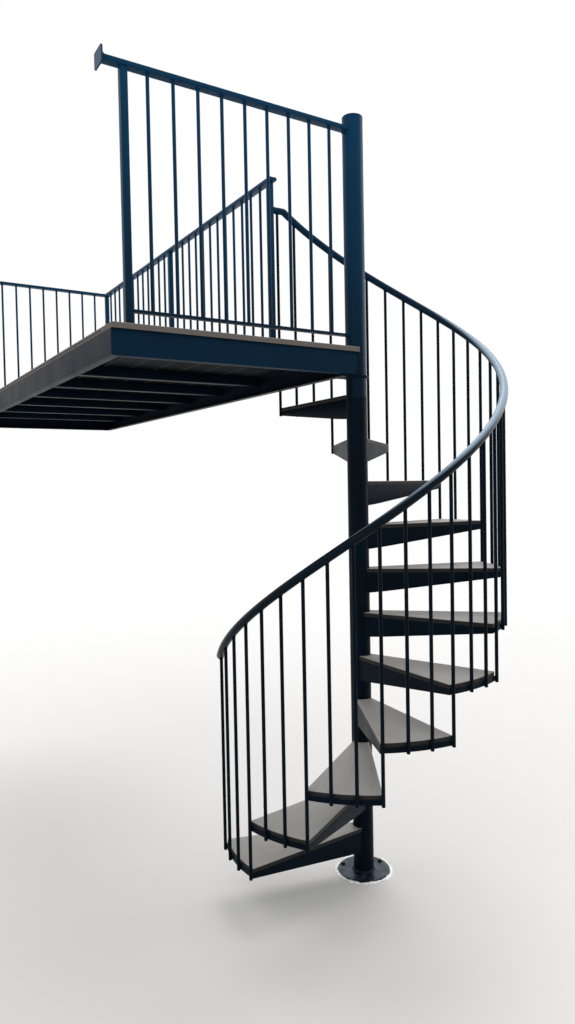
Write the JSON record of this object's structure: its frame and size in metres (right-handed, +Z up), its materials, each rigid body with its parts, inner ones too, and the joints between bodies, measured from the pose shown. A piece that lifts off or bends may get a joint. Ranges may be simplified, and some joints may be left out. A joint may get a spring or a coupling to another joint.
{
  "type": "outdoor steel spiral staircase with landing",
  "caption": "Outdoor steel spiral staircase with composite treads, a helical handrail with slim balusters and a guarded landing that fastens to a wall.",
  "frame": {"origin": "centre of the base plate's underside, on the column's axis", "axes": "+Z up the column; +X away from the wall that carries the landing; +Y along the landing, away from the stair"},
  "size_m": [1.9919, 4.3369, 3.745],
  "materials": {
    "steel_paint": "satin black powder coat",
    "board": "weathered grey-taupe composite decking with fine embossed grain"
  },
  "bodies": {
    "root": {"base_plate": "steel_paint", "centre_pole": "steel_paint", "upper_sleeve": "steel_paint", "column_cap": "steel_paint", "tread_frame_01": "steel_paint", "tread_board_01": "board", "tread_frame_02": "steel_paint", "tread_board_02": "board", "tread_frame_03": "steel_paint", "tread_board_03": "board", "tread_frame_04": "steel_paint", "tread_board_04": "board", "tread_frame_05": "steel_paint", "tread_board_05": "board", "tread_frame_06": "steel_paint", "tread_board_06": "board", "tread_frame_07": "steel_paint", "tread_board_07": "board", "tread_frame_08": "steel_paint", "tread_board_08": "board", "tread_frame_09": "steel_paint", "tread_board_09": "board", "tread_frame_10": "steel_paint", "tread_board_10": "board", "tread_frame_11": "steel_paint", "tread_board_11": "board", "stair_balusters_lower": "steel_paint", "stair_balusters_middle": "steel_paint", "stair_balusters_upper": "steel_paint", "handrail": "steel_paint", "near_channel": "steel_paint", "side_channel": "steel_paint", "far_channel": "steel_paint", "wall_ledger": "steel_paint", "joists": "steel_paint", "deck_boards": "board", "column_bracket": "steel_paint", "corner_post": "steel_paint", "middle_post": "steel_paint", "far_post": "steel_paint", "near_guard": "steel_paint", "side_guard_near": "steel_paint", "side_guard_far": "steel_paint", "far_guard": "steel_paint"}
  },
  "joints": []
}
